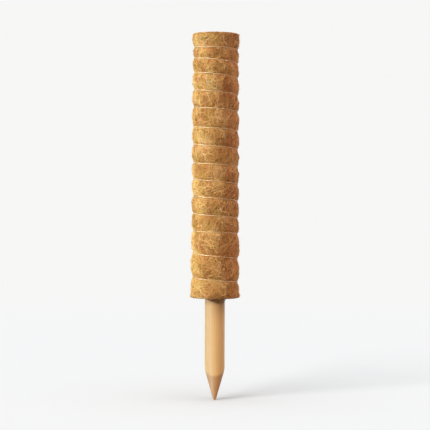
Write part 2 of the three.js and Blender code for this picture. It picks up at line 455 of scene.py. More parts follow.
@dataclass(frozen=True)
class NylonThread:
    """Bonded nylon sewing thread, three plies twisted and waxed. It is pale straw with a satin
    gloss, and the twist shows as fine slanting lines."""

    light: str = "#EACA98"
    dark: str = "#D2A671"
    twist_mm: float = 2.4
    plies: int = 3
    bump_mm: float = 0.08
    roughness: float = 0.32

    def build(self) -> bpy.types.Material:
        """Draws the plies as bands on the thread's own UV map, which is in shares of a round
        and millimetres along."""
        material, node = new_material("bonded_nylon_thread")
        split = node("SeparateXYZ", {0: node("UVMap", uv_map="lie")})
        along = node("Math", {0: split.outputs["Y"], 1: 1 / self.twist_mm}, operation="MULTIPLY")
        turn = node("Math", {0: split.outputs["X"], 1: along})
        ply = node("Math", {0: turn, 1: self.plies * TAU}, operation="MULTIPLY")
        wave = node("Math", {0: ply}, operation="SINE")
        level = node("MapRange", {"Value": wave, "From Min": -1.0, "From Max": 1.0})
        colour = node("ValToRGB", {"Fac": level}, [(0.0, self.dark), (0.6, self.light)])
        bump = node("Bump", {"Height": level, "Distance": self.bump_mm * MM, "Strength": 0.7})
        finish = {"Base Color": colour, "Roughness": self.roughness, "IOR": 1.53, "Normal": bump}
        node("OutputMaterial", {"Surface": node("BsdfPrincipled", finish)})
        return material


@dataclass(frozen=True)
class TurnedWood:
    """Birch dowel, turned and sanded smooth, unvarnished but silky. The grain runs along it as
    faint streaks, its point is darker, partly as end grain and partly as painted shade, and a band
    of painted shade darkens it just below the coir."""

    early: str = "#EBB97B"
    late: str = "#E6B272"
    fleck: str = "#D0985C"
    # Tint of the point: partly end grain, partly painted shade on the surface that faces down.
    cut: str = "#E2D0C6"
    # Painted shade under the coir's overhang: its colour, and how far below the coir it reaches.
    dust_and_shade: str = "#A98660"
    dust_and_shade_mm: float = 9.0
    ring_mm: float = 2.6
    heart_mm: float = 70.0
    streak_mm: float = 0.7
    stretch: float = 26.0
    bump_mm: float = 0.05
    roughness: float = 0.42

    def build(self) -> bpy.types.Material:
        """Cuts the dowel out of a tree whose heart is well to one side: rings about that heart,
        and fine streaks stretched along the grain."""
        material, node = new_material("sanded_birch_dowel")
        place = node("TexCoord").outputs["Object"]
        heart = (self.heart_mm * MM, 0.4 * self.heart_mm * MM, 0.0)
        lie = {"Vector": place, "Location": heart, "Scale": (1.0, 1.0, 0.02)}
        # A ring wave has a period of 0.314 over its scale.
        pattern = {"Scale": 0.314 * scale_of(self.ring_mm), "Distortion": 1.6, "Detail": 2.0}
        rings = node(
            "TexWave", {"Vector": node("Mapping", lie), "Detail Scale": 0.6} | pattern,
            wave_type="RINGS", rings_direction="Z",
        )
        ends = [(0.25, self.early), (1.0, self.late)]
        ring_colour = node("ValToRGB", {"Fac": rings.outputs["Fac"]}, ends)
        grain = node("Mapping", {"Vector": place, "Scale": (1.0, 1.0, 1 / self.stretch)})
        scale = scale_of(self.streak_mm)
        streaks = node("TexNoise", {"Vector": grain, "Scale": scale, "Detail": 4.0})
        fleck = {"Value": streaks, "From Min": 0.5, "From Max": 0.8, "To Max": 0.14}
        flecks = {"Fac": node("MapRange", fleck), "Color1": ring_colour, "Color2": self.fleck}
        colour = node("MixRGB", flecks)
        # The point is known by its surface, which faces down. It is darkened there, partly as end
        # grain and partly as painted shade, since a surface facing down gets less light.
        facing = node("SeparateXYZ", {0: node("NewGeometry").outputs["Normal"]}).outputs["Z"]
        height = node("SeparateXYZ", {0: place}).outputs["Z"]
        for value, start, end, most, tint in (
            (facing, -0.08, -0.24, 1.0, self.cut),
            # A band just below the coir, darkened as painted shade.
            (height, -self.dust_and_shade_mm * MM, 0.0, 0.7, self.dust_and_shade),
        ):
            reach = {"Value": value, "From Min": start, "From Max": end, "To Max": most}
            layers = {"Fac": node("MapRange", reach), "Color1": colour, "Color2": tint}
            colour = node("MixRGB", layers, blend_type="MULTIPLY")
        bump = node("Bump", {"Height": streaks, "Distance": self.bump_mm * MM, "Strength": 0.15})
        finish = {"Base Color": colour, "Roughness": self.roughness, "IOR": 1.5, "Normal": bump}
        shader = node("BsdfPrincipled", finish | {"Coat Weight": 0.12, "Coat Roughness": 0.3})
        node("OutputMaterial", {"Surface": shader})
        return material


@dataclass(frozen=True)
class RigidTube:
    """Extruded rigid PVC conduit. It is a cold pale grey with a soft gloss, and the die leaves
    faint lines along it."""

    clean: str = "#D9D7D0"
    dusty: str = "#B9AF9D"
    line_mm: float = 0.8
    dust_and_shade_mm: float = 5.556
    stretch: float = 40.0
    bump_mm: float = 0.04
    roughness: float = 0.38

    def build(self) -> bpy.types.Material:
        """Lays fine lines along the tube and coir dust in soft patches over the grey."""
        material, node = new_material("extruded_rigid_pvc")
        place = node("TexCoord").outputs["Object"]
        drawn = node("Mapping", {"Vector": place, "Scale": (1.0, 1.0, 1 / self.stretch)})
        lines = node("TexNoise", {"Vector": drawn, "Scale": scale_of(self.line_mm), "Detail": 2.0})
        dust_and_shade = node("TexNoise", {"Vector": place, "Scale": scale_of(self.dust_and_shade_mm), "Detail": 5.0})
        share = node("MapRange", {"Value": dust_and_shade, "From Min": 0.45, "From Max": 0.75, "To Max": 0.7})
        colour = node("MixRGB", {"Fac": share, "Color1": self.clean, "Color2": self.dusty})
        bump = node("Bump", {"Height": lines, "Distance": self.bump_mm * MM, "Strength": 0.3})
        finish = {"Base Color": colour, "Roughness": self.roughness, "IOR": 1.53, "Normal": bump}
        node("OutputMaterial", {"Surface": node("BsdfPrincipled", finish)})
        return material


@dataclass(frozen=True)
class SteelBrad:
    """Bright drawn steel wire, cut and pointed. It is a grey metal with fine scratches."""

    colour: str = "#A6A7A8"
    scratch_mm: float = 0.15

    def build(self) -> bpy.types.Material:
        """Varies the roughness of a plain metal by fine scratches."""
        material, node = new_material("drawn_steel_wire")
        place = node("TexCoord").outputs["Object"]
        scale = scale_of(self.scratch_mm)
        scratches = node("TexNoise", {"Vector": place, "Scale": scale, "Detail": 3.0})
        roughness = node("MapRange", {"Value": scratches, "To Min": 0.22, "To Max": 0.48})
        finish = {"Base Color": self.colour, "Metallic": 1.0, "Roughness": roughness}
        node("OutputMaterial", {"Surface": node("BsdfPrincipled", finish)})
        return material


# Coir


@dataclass
class CoirSkin:
    """The coir's outer surface: pillows between the turns of the thread, a flared rim and a
    bulging foot. It lies half a millimetre inside the CAD's, because strands lie on it. It is
    worked out once on a fine grid, and read off between its points."""

    winding: Winding
    rng: np.random.Generator
    rim_radius: float = 25.45
    foot_radius: float = 26.6
    rim_edge: float = 1.2
    foot_corner: float = 2.6
    foot_power: float = 0.7
    groove_half: float = 1.0
    groove_flat: float = 0.45
    groove_clearance: float = 0.35
    pressed_reach: float = 2.4
    crown_share: float = 0.08
    crown_power: float = 2.0
    flare_power: float = 2.7
    seam_fade: float = 0.2
    lump_mm: float = 0.22
    lump_waves: tuple[float, float] = (11.0, 5.0)
    columns: int = 400
    rows: int = 1153

    def __post_init__(self) -> None:
        """Fills the grids of radius and of freedom from the thread's pressure."""
        length, turns = self.winding.coir_length, self.winding.turns
        turn, height = np.meshgrid(
            np.arange(self.columns) / self.columns, np.linspace(0, length, self.rows)
        )
        above = ease((turn - 1 + self.seam_fade) / self.seam_fade)
        below = 1 - ease(turn / self.seam_fade)
        plain, plain_free = self.between(turn, height, 0, turns)
        top, top_free = self.between(turn, height, -1, turns)
        foot, foot_free = self.between(turn, height, 0, turns + 1)
        step = (length / self.rows, TAU * MEAN_RADIUS / self.columns)
        lumps = relief(self.rng, plain.shape, step, self.lump_waves[0])
        lumps = lumps + 0.6 * relief(self.rng, plain.shape, step, self.lump_waves[1])
        self.free = plain_free + above * (top_free - plain_free) + below * (foot_free - plain_free)
        self.radius = plain + above * (top - plain) + below * (foot - plain)
        self.radius += self.lump_mm * lumps * self.free

    def between(
        self, turn_share: Array, height: Array, first: int, end: int
    ) -> tuple[Array, Array]:
        """Radius of the skin with the thread's turns from first to end - 1 bound round it.

        Between two turns of the thread, with s from 0 to 1 down the pillow, it is the bound
        radius plus a share of the gap times 1 - |2 s - 1| to a power. Over the first turn it is
        the rim's, less the step to the bound radius times s to a power. Under the last turn it
        swells to the foot's by a quarter wave. In the groove it eases down under the thread.

        Args:
            turn_share: Place round the pole, as a share of a turn from the back.
            height: Height on the pole.
            first: Number of the first turn.
            end: Number after the last turn.

        Returns:
            The radius, and the freedom from the thread's pressure, from 0 to 1.
        """
        winding = self.winding
        crossings = np.stack([winding.height(turn + turn_share[0]) for turn in range(first, end)])
        passed = (crossings[:, None, :] > height[None]).sum(axis=0)
        column = np.arange(turn_share.shape[1])[None]
        upper = crossings[np.clip(passed - 1, 0, len(crossings) - 1), column]
        lower = crossings[np.clip(passed, 0, len(crossings) - 1), column]
        bound = winding.bound_radius(height)
        half = self.groove_half

        gap = np.maximum(upper - lower - 2 * half, 1e-6)
        down = np.clip((upper - half - height) / gap, 0, 1)
        pillow = bound + self.crown_share * gap * (1 - np.abs(2 * down - 1) ** self.crown_power)

        flare_top = winding.coir_length - self.rim_edge
        flare_foot = crossings[0] + half
        down = np.clip((flare_top - height) / (flare_top - flare_foot), 0, 1)
        flare = self.rim_radius - (self.rim_radius - bound) * down**self.flare_power

        foot_top = crossings[-1] - half
        down = np.clip((foot_top - height) / (foot_top - self.foot_corner), 0, 1)
        bulge = bound + (self.foot_radius - bound) * np.sin(down * TAU / 4) ** self.foot_power

        radius = np.where(passed == 0, flare, np.where(passed == len(crossings), bulge, pillow))
        near = np.minimum(np.abs(height - upper), np.abs(height - lower))
        floor = bound - winding.thread_diameter - self.groove_clearance
        wall = ease((near / half - self.groove_flat) / (1 - self.groove_flat))
        radius = np.where(near < half, floor + (radius - floor) * wall, radius)
        return radius, ease((near - half / 2) / (self.pressed_reach * half))

    def read(self, table: Array, angle: Array, height: Array) -> Array:
        """Reads a grid between its points, as the mean of the four nearest ones by nearness."""
        column = ((angle - BACK) / TAU % 1) * self.columns
        row = np.clip(height / self.winding.coir_length, 0, 1) * (self.rows - 1)
        left = np.floor(column).astype(int)
        under = np.minimum(np.floor(row).astype(int), self.rows - 2)
        across, up = column - left, row - under
        left, right = left % self.columns, (left + 1) % self.columns
        low = table[under, left] * (1 - across) + table[under, right] * across
        high = table[under + 1, left] * (1 - across) + table[under + 1, right] * across
        return low * (1 - up) + high * up


@dataclass(frozen=True)
class FibreLayer:
    """One layer of strands: how many there are, their sizes in millimetres, and how they lie.

    A lock is a few strands side by side, a pitch apart. Bend is the spread of the turn in each
    millimetre, sway the swing of the direction, and bridging the share drawn over the thread.
    """

    name: str
    count: int
    length: tuple[float, float]
    radius: tuple[float, float]
    lift: tuple[float, float]
    tone: tuple[float, float]
    parts: int = 1
    steps: int = 11
    bend: float = 0.05
    sway: float = 0.35
    lock: int = 1
    pitch: float = 0.32
    free_ends: bool = False
    bridging: float = 0.0


@dataclass
class CoirBody:
    """The coir mat wound on the tube: a felt body, strands lying over it, cut strands on its
    two end faces, and a dark tuft at the front of the foot."""

    winding: Winding
    skin: CoirSkin
    rng: np.random.Generator
    bore_radius: float = 13.0
    stake_radius: float = 11.0
    stake_bore_radius: float = 11.3
    ledge_rows: tuple[float, ...] = (1.0, 2.2, 3.7)
    bore_drop: float = 0.6
    lip: float = 0.4
    rim_margin: float = 0.5
    foot_margin: float = 2.0
    tuft_count: int = 170
    tuft_angle: float = -1.5
    tuft_spread: float = 0.14
    tuft_turn: float = 0.21
    tuft_rise: float = 6.5
    tuft_drop: float = 7.0
    tuft_bulge: tuple[float, float, float] = (0.6, 0.7, 0.4)
    tuft_dip: float = 1.6
    tuft_inset: tuple[float, float] = (0.1, 3.0)
    tuft_wave: float = 0.06
    tuft_radius: tuple[float, float] = (0.12, 0.2)
    tuft_tone: tuple[float, float] = (-0.12, 0.55)
    tuft_shade: float = 0.4
    tuft_shade_reach: tuple[float, float] = (0.17, 5.0)
    felt_inset: float = 0.35
    felt_relief: float = 0.28
    felt_waves: tuple[float, float] = (2.6, 5.5)
    lie_waves: tuple[float, float] = (9.0, 14.0)
    tone_scatter: float = 0.06
    side_sink: float = 0.35
    end_sink: float = 0.4
    end_scatter: float = 0.55
    mat_thickness: float = 4.5
    seam_depth: float = 0.9
    columns: int = 204
    outer_rows: int = 420
    row_step: float = 0.7
    corner_rows: int = 6
    sides: int = 3
    layers: tuple[FibreLayer, ...] = (
        FibreLayer(
            "coir_bed", 9000, (12, 28), (0.19, 0.28), (-0.34, -0.08), (0.41, 0.64), parts=3,
            lock=3, pitch=0.45,
        ),
        FibreLayer(
            "coir_web", 9000, (12, 30), (0.13, 0.2), (-0.1, 0.14), (0.4, 0.75), parts=3, lock=3,
            pitch=0.28, bridging=0.1,
        ),
        FibreLayer(
            "coir_locks", 2700, (13, 34), (0.13, 0.2), (0.02, 0.26), (0.34, 0.84), parts=2,
            steps=15, sway=0.4, lock=3, pitch=0.26, bridging=0.12,
        ),
        FibreLayer(
            "coir_fuzz", 1600, (4, 11), (0.07, 0.11), (0.3, 1.5), (0.5, 1.0), sway=0.5,
            free_ends=True,
        ),
        FibreLayer(
            "coir_wisps", 800, (14, 32), (0.14, 0.21), (0.14, 0.36), (0.62, 0.92), steps=17,
            sway=0.55, lock=4, pitch=0.24, bridging=0.06,
        ),
    )
    ends: FibreLayer = FibreLayer(
        "coir_end_faces", 1300, (5, 13), (0.13, 0.21), (0.0, 0.5), (0.2, 0.95)
    )

    def seam_depth_at(self, radius: Array, angle: Array) -> Array:
        """How deep the end faces are cut by the spiral seam between the mat's layers.

        The distance to the spiral r = bore + thickness times (turns + share of a turn) goes
        into a bell curve of 0.4 mm.
        """
        share = (radius - self.bore_radius) / self.mat_thickness - (angle - BACK) / TAU
        off = np.abs(share - np.round(share)) * self.mat_thickness
        return self.seam_depth * np.exp(-((off / 0.4) ** 2))

    def felt(self) -> Shape:
        """The felt body: one closed grid, round the pole one way and round its wall the other.

        The wall's outline goes down the skin, in across the foot, up the bore and out across
        the top. Each of its rows has a radius, a height and the direction out of the surface,
        along which bumps are added.
        """
        skin, inset, length = self.skin, self.felt_inset, self.winding.coir_length
        rim, edge, foot, corner = (
            skin.rim_radius - inset, skin.rim_edge, skin.foot_radius - inset, skin.foot_corner
        )
        angle = round_angles(self.columns, BACK)
        rows: list[tuple[Array | float, Array | float, float, float]] = []
        for height in np.linspace(length - edge, corner, self.outer_rows):
            level = np.full_like(angle, height)
            rows.append((skin.read(skin.radius, angle, level) - inset, level, 1.0, 0.0))
        for turn in np.linspace(0, TAU / 4, self.corner_rows)[1:]:
            out, down = math.cos(turn), math.sin(turn)
            rows.append((foot - corner * (1 - out), corner * (1 - down) + inset, out, -down))
        for radius in np.linspace(foot - corner, self.stake_bore_radius + self.lip, 15)[1:]:
            rows.append((radius, inset + self.seam_depth_at(radius, angle), 0.0, -1.0))
        rows += [(self.stake_bore_radius, height, 0.0, 0.0) for height in self.ledge_rows]
        for height in np.linspace(self.ledge_rows[-1], length - self.bore_drop, 14):
            rows.append((self.bore_radius, height, 0.0, 0.0))
        for radius in np.linspace(self.bore_radius + self.lip, rim - edge, 18):
            rows.append((radius, length - inset - self.seam_depth_at(radius, angle), 0.0, 1.0))
        for turn in np.linspace(TAU / 4, 0, self.corner_rows - 1)[1:-1]:
            out, up = math.cos(turn), math.sin(turn)
            rows.append((rim - edge * (1 - out), length - inset - edge * (1 - up), out, up))

        radius, height, out, up = (
            np.array([np.broadcast_to(part, angle.shape) for part in parts]) for parts in zip(*rows)
        )
        step = (self.row_step, TAU * MEAN_RADIUS / self.columns)
        bumps = relief(self.rng, radius.shape, step, self.felt_waves[0])
        bumps = bumps + 0.5 * relief(self.rng, radius.shape, step, self.felt_waves[1])
        free = skin.read(skin.free, np.broadcast_to(angle, radius.shape), height)
        bumps *= self.felt_relief * np.where(out == 1, 0.35 + 0.65 * free, 1.0)
        points = ring_points(radius + bumps * out, angle, height + bumps * up)
        return Shape(points.reshape(-1, 3), sheet_quads(*radius.shape, close_rows=True))

    def wander(
        self, layer: FibreLayer, heading: Array, length: Array, bend: Array
    ) -> tuple[Array, Array]:
        """Flat wandering lines, measured from their middles, for each strand of each lock.

        The direction at a place s on a line is heading + bend s + two sine waves of random
        phase, and the line is the running sum of its steps. A lock's strands lie beside it at
        even offsets, and open towards both ends.

        Args:
            layer: The layer that the strands belong to.
            heading: Direction of each lock at its middle.
            length: Length of each lock.
            bend: How much each lock turns in a millimetre.

        Returns:
            The two coordinates, with one row for each strand.
        """
        count = len(heading)
        share = np.linspace(-0.5, 0.5, layer.steps)[None]
        phase = self.rng.uniform(0, TAU, (2, count, 1))
        waves = self.rng.uniform(0.5, 1.6, (2, count, 1))
        direction = heading[:, None] + bend[:, None] * (share * length[:, None])
        direction = direction + layer.sway * np.sin(TAU * waves[0] * share + phase[0])
        direction = direction + 0.5 * layer.sway * np.sin(2 * TAU * waves[1] * share + phase[1])
        step = length[:, None] / (layer.steps - 1)
        x = np.cumsum(np.cos(direction) * step, axis=1)
        y = np.cumsum(np.sin(direction) * step, axis=1)
        middle = layer.steps // 2
        x, y = x - x[:, middle, None], y - y[:, middle, None]
        place = np.tile(np.arange(layer.lock) - (layer.lock - 1) / 2, count)[:, None]
        place = place + self.rng.normal(0, 0.3, place.shape) * (layer.lock > 1)
        aside = layer.pitch * place * (1 + 1.2 * np.abs(2 * share) ** 2)
        direction, x, y = (np.repeat(part, layer.lock, axis=0) for part in (direction, x, y))
        return x - aside * np.sin(direction), y + aside * np.cos(direction)

    def strands(self, radius_range: tuple[float, float], paths: Array, tone: Array) -> Shape:
        """Tubes along the paths, thinner towards both ends."""
        count, steps, _ = paths.shape
        share = np.linspace(-1, 1, steps)[None]
        radius = self.rng.uniform(*radius_range, (count, 1)) * (1 - 0.55 * np.abs(share) ** 3)
        return tubes(paths, radius, self.sides, {"tone": tone})

    def side_strands(self, layer: FibreLayer, start: float, end: float, count: int) -> Shape:
        """Strands that lie on the skin between two heights.

        A strand is a wandering line on the unrolled skin. Its lift over the skin is a low arch,
        so its ends go into the felt, and near the thread it is pressed down with the skin.
        """
        rng, length = self.rng, self.winding.coir_length
        locks = count // layer.lock
        middle_angle = rng.uniform(0, TAU, locks)
        middle_height = rng.uniform(start, end, locks)
        # Neighbouring strands share a lie, which turns slowly from place to place.
        drift = np.sin(middle_height / self.lie_waves[0] + 2 * np.sin(middle_angle * 2))
        drift = drift + np.sin(middle_angle * 5 + middle_height / self.lie_waves[1])
        # More of them stand upright on the right of the front.
        upright = 0.5 + 0.5 * np.cos(middle_angle + 0.7)
        scatter = rng.normal(0, 1.0 - 0.45 * upright, locks)
        heading = TAU / 4 + (0.75 - 0.35 * upright) * drift + scatter
        size = rng.uniform(*layer.length, locks)
        tone = rng.uniform(*layer.tone, locks) + 0.1 * drift
        x, y = self.wander(layer, heading, size, rng.normal(0, layer.bend, locks))
        middle_angle, middle_height, tone = (
            np.repeat(part, layer.lock) for part in (middle_angle, middle_height, tone)
        )
        count = len(tone)
        tone = tone + rng.normal(0, self.tone_scatter, count)
        # Strands whose middles lie near the tuft, at the front of the foot, are made darker.
        aside = np.angle(np.exp(1j * (middle_angle - self.tuft_angle)))
        away = (aside / self.tuft_shade_reach[0]) ** 2
        away = away + (middle_height / self.tuft_shade_reach[1]) ** 2
        tone = tone - self.tuft_shade * np.exp(-away)
        angle = middle_angle[:, None] + x / MEAN_RADIUS
        height = np.clip(middle_height[:, None] + y, 0.4, length - 0.5)
        share = np.linspace(-1, 1, layer.steps)[None]
        peak = rng.uniform(*layer.lift, (count, 1))
        arch = 0.5 * (1 + share) ** 1.5 if layer.free_ends else 1 - share**4
        lift = -self.side_sink + (peak + self.side_sink) * arch
        free = self.skin.read(self.skin.free, angle, height)
        lift = np.where(lift > 0, lift * (0.1 + 0.9 * free), lift)
        radius = self.skin.read(self.skin.radius, angle, height) + lift
        # Some strands were drawn over the thread, most of them on the right of the front.
        sided = 1 + 0.7 * np.cos(middle_angle + 0.5) + 0.3 * np.sin(middle_height / 13.0)
        bridging = rng.random(count) < layer.bridging * sided
        cover = self.winding.bound_radius(height) + layer.radius[0]
        radius = np.where(bridging[:, None], np.maximum(radius, cover), radius)
        return self.strands(layer.radius, ring_points(radius, angle, height), tone)

    def end_strands(self, height: float, out: float, inner: float, outer: float) -> Shape:
        """Strands on an end face, mostly lying round the axis as the mat's layers do.

        A strand's middle is spread evenly over the ring, and its direction follows the circle
        through it, give or take a random turn.
        """
        rng, layer, count = self.rng, self.ends, self.ends.count
        radius = np.sqrt(rng.uniform(inner**2, outer**2, count))
        angle = rng.uniform(0, TAU, count)
        heading = angle + TAU / 4 + rng.normal(0, self.end_scatter, count)
        size = rng.uniform(*layer.length, count)
        x, y = self.wander(layer, heading, size, 1 / radius)
        x, y = x + (radius * np.cos(angle))[:, None], y + (radius * np.sin(angle))[:, None]
        reach, place = np.hypot(x, y), np.arctan2(y, x)
        reach = np.clip(reach, inner, outer)
        share = np.linspace(-1, 1, layer.steps)[None]
        peak = rng.uniform(*layer.lift, (count, 1))
        lift = -self.end_sink + (peak + self.end_sink) * (1 - share**4)
        lift = lift - 0.8 * self.seam_depth_at(reach, place)
        paths = ring_points(reach, place, height + out * lift)
        return self.strands(layer.radius, paths, rng.uniform(*layer.tone, count))

    def tuft_strands(self, steps: int = 11) -> Shape:
        """Dark loose strands at the front of the foot, which hang over the top of the stake.

        A strand is a cubic curve, p0 (1 - s)^3 + 3 p1 s (1 - s)^2 + 3 p2 s^2 (1 - s) + p3 s^3,
        from the skin over the foot's edge to the stake, and it turns about the axis with s.
        """
        rng, foot, count = self.rng, self.skin.foot_radius, self.tuft_count
        share = np.linspace(0, 1, steps)[None]
        start = rng.uniform(0, 1, (count, 1)) ** 1.2 * self.tuft_rise
        drop = (0.1 + 0.9 * rng.uniform(0, 1, (count, 1)) ** 1.6) * self.tuft_drop
        inner = self.stake_radius + rng.uniform(*self.tuft_inset, (count, 1))
        back = 1 - share
        weights = back**3, 3 * share * back**2, 3 * share**2 * back, share**3
        radii = *(foot + bulge for bulge in self.tuft_bulge), inner
        heights = start, 0.3 * start, -self.tuft_dip, -drop
        radius = sum(weight * place for weight, place in zip(weights, radii))
        height = sum(weight * place for weight, place in zip(weights, heights))
        spread = rng.normal(0, self.tuft_spread, (count, 1)) * (1 - 0.8 * start / self.tuft_rise)
        begin = self.tuft_angle + spread
        turn = rng.normal(0, self.tuft_turn, (count, 1))
        wave = self.tuft_wave * np.sin(TAU * (share + rng.uniform(0, 1, (count, 1))))
        paths = ring_points(radius, begin + turn * share + wave, height)
        return self.strands(self.tuft_radius, paths, rng.uniform(*self.tuft_tone, count))

    def build(self) -> None:
        """Makes the felt and every layer of strands."""
        felt = write_piece("coir_felt", self.felt(), CoirFelt().build())
        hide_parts("coir_wrap")
        fibre = CoirFibre().build()
        length = self.winding.coir_length
        for layer in self.layers:
            edges = np.linspace(0.6, length - 0.6, layer.parts + 1)
            for part in range(layer.parts):
                count = layer.count // layer.parts
                shape = self.side_strands(layer, edges[part], edges[part + 1], count)
                name = f"{layer.name}_{part + 1}" if layer.parts > 1 else layer.name
                write_piece(name, shape, fibre)
        bores = self.bore_radius + self.lip, self.stake_bore_radius + self.lip
        rims = self.skin.rim_radius - self.rim_margin, self.skin.foot_radius - self.foot_margin
        ends = [
            self.end_strands(length, 1.0, bores[0], rims[0]),
            self.end_strands(0.0, -1.0, bores[1], rims[1]),
        ]
        write_piece(self.ends.name, joined(ends), fibre)
        write_piece("foot_tuft", self.tuft_strands(), fibre)


# Thread


@dataclass
class BindingThread:
    """The nylon thread wound round the coir. Both its ends lie at the back."""

    winding: Winding
    proud: float = 0.3
    steps_per_turn: int = 96
    sides: int = 10

    def path(self, turn: Array) -> Array:
        """Points on the thread's middle line: the helix at the bound radius less its own."""
        height = self.winding.height(turn)
        radius = self.winding.bound_radius(height) - self.winding.thread_radius + self.proud
        return ring_points(radius, BACK + turn * TAU, height)

    def wound(self) -> Shape:
        """The whole winding as one tube, with a UV map of shares of a round and millimetres."""
        steps = self.winding.turns * self.steps_per_turn
        path = self.path(np.linspace(0, self.winding.turns, steps + 1))
        radius = np.full((1, len(path)), self.winding.thread_radius)
        shape = tubes(path[None], radius, self.sides, {})
        walked = np.concatenate([[0], np.cumsum(np.linalg.norm(np.diff(path, axis=0), axis=1))])
        around = np.abs(2 * np.arange(self.sides) / self.sides - 1)
        shape.uv = np.stack([np.tile(around, len(path)), np.repeat(walked, self.sides)], axis=1)
        return shape

    def build(self) -> None:
        """Makes the winding."""
        thread = write_piece("thread_winding", self.wound(), NylonThread().build())
        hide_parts("binding_thread")


# Stake and tube


@dataclass
class Stake:
    """The wooden stake: a dowel sharpened a little off its centre."""

    radius: float = 11.0
    top: float = 170.0
    exposed: float = 112.0
    end_chamfer: float = 1.0
    point_length: float = 33.5
    tip_radius: float = 1.4
    tip_round: float = 1.2
    point_offset: float = 1.8
    shoulder_round: float = 0.25
    columns: int = 96

    def sharpened(self, height: Array) -> Array:
        """Radius of the sharpener's cone at a height, with the tip's edge rounded off.

        The cone widens evenly upwards from the tip's radius. Within the rounding it is the
        flat's radius plus the root of size squared less the height under its middle squared.
        """
        up = height + self.exposed
        cone = self.tip_radius + (self.radius - self.tip_radius) * up / self.point_length
        under = np.clip(1 - up / self.tip_round, 0, 1)
        rounded = self.tip_radius - self.tip_round + self.tip_round * np.sqrt(1 - under**2)
        return np.where(up < self.tip_round, rounded, cone)

    def build(self) -> None:
        """Makes the stake as rings round the cone's axis.

        On each ring the radius is the lesser of the cone's and the way to the dowel's surface,
        which is -c.u + root(R^2 - |c|^2 + (c.u)^2) from a middle c in a direction u. The two
        are joined by a smooth minimum, so that the shoulder is eased as sanding leaves it.
        """
        lift = self.tip_round * (1 - np.cos(np.linspace(0, TAU / 4, 6)))
        shoulder = self.point_length * (1 + 2 * self.point_offset / self.radius)
        levels = np.concatenate([
            lift - self.exposed,
            np.linspace(self.tip_round, shoulder, 90)[1:] - self.exposed,
            np.linspace(shoulder - self.exposed, self.top - self.end_chamfer, 50)[1:],
        ])[:, None]
        angle = round_angles(self.columns)[None]
        toward = -self.point_offset * np.sin(angle)
        dowel = -toward + np.sqrt(self.radius**2 - self.point_offset**2 + toward**2)
        cone = self.sharpened(levels)
        soft = self.shoulder_round
        eased = -soft * np.logaddexp(-cone / soft, -dowel / soft)
        radius = np.where(cone < dowel + 4 * soft, eased, dowel)
        radius = np.where(levels > -self.exposed + 2 * self.tip_round, radius, cone)
        points = ring_points(radius, angle, levels)
        end = ring_points(dowel - self.end_chamfer, angle, np.full_like(angle, self.top))
        rings = np.concatenate([points, end.reshape(1, self.columns, 3)])
        rings[:, :, 1] -= self.point_offset
        middles = rings[[0, -1]].mean(axis=1)
        points = np.concatenate([rings.reshape(-1, 3), middles])
        corner = np.arange(self.columns)
        after = np.roll(corner, -1)
        last, low = (len(rings) - 1) * self.columns, np.full_like(corner, len(rings) * self.columns)
        foot_fan = np.stack([after, corner, low], axis=1)
        top_fan = np.stack([last + corner, last + after, low + 1], axis=1)
        caps = np.concatenate([foot_fan, top_fan])
        shape = Shape(points, sheet_quads(len(rings), self.columns), caps)
        stake = write_piece("wooden_stake", shape, TurnedWood().build())
        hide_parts("stake")


@dataclass
class CoreTube:
    """The plastic tube inside the coir, whose open top takes the next pole's stake."""

    inner: float = 11.3
    outer: float = 12.7
    foot: float = 4.0
    top: float = 285.0
    mouth: float = 0.5
    edge: float = 0.2
    columns: int = 96

    def build(self) -> None:
        """Makes the tube as an outline carried round the axis, with its edges eased."""
        edge, levels = self.edge, np.linspace(self.foot + 1, self.top - 1, 40)
        outline = [
            (self.outer - edge, self.foot), (self.outer, self.foot + edge),
            *[(self.outer, level) for level in levels],
            (self.outer, self.top - edge), (self.outer - edge, self.top),
            (self.inner + self.mouth, self.top), (self.inner, self.top - self.mouth),
            *[(self.inner, level) for level in levels[::-1]],
            (self.inner, self.foot + edge), (self.inner + edge, self.foot),
        ]
        radius, height = np.array(outline).T[:, :, None]
        angle = round_angles(self.columns)[None]
        points = ring_points(radius, angle, height).reshape(-1, 3)
        shape = Shape(points, sheet_quads(len(outline), self.columns, close_rows=True))
        tube = write_piece("plastic_tube", shape, RigidTube().build())
        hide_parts("core_tube")


@dataclass
class Brads:
    """The two steel brads that pin the stake to the tube, which keep their own meshes."""

    nodes: tuple[str, ...] = ("lower_brad", "upper_brad")

    def build(self) -> None:
        """Gives both brads their steel."""
        steel = SteelBrad().build()
        for name in self.nodes:
            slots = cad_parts[name].material_slots
            for slot in slots:
                slot.material = steel
            LOG.info("%s: %d material slots", name, len(slots))


# Studio


class Reach(Enum):
    """What a light falls on."""

    POLE = "the whole pole"
    COIR = "coir and thread"
    THREAD = "thread"
    WOOD = "wood"
    FLOOR = "floor"


@dataclass(frozen=True)
class SoftLight:
    """A broad distant light. Its azimuth goes from the front (0) to the left (90), elevation is
    over the floor, and width is how wide it looks, all in degrees. Strength is in W/m2."""

    name: str
    azimuth: float
    elevation: float
    strength: float
    width: float
    reach: Reach
    colour: str = "#FFFFFF"
    gloss_only: bool = False
    through_floor: bool = False


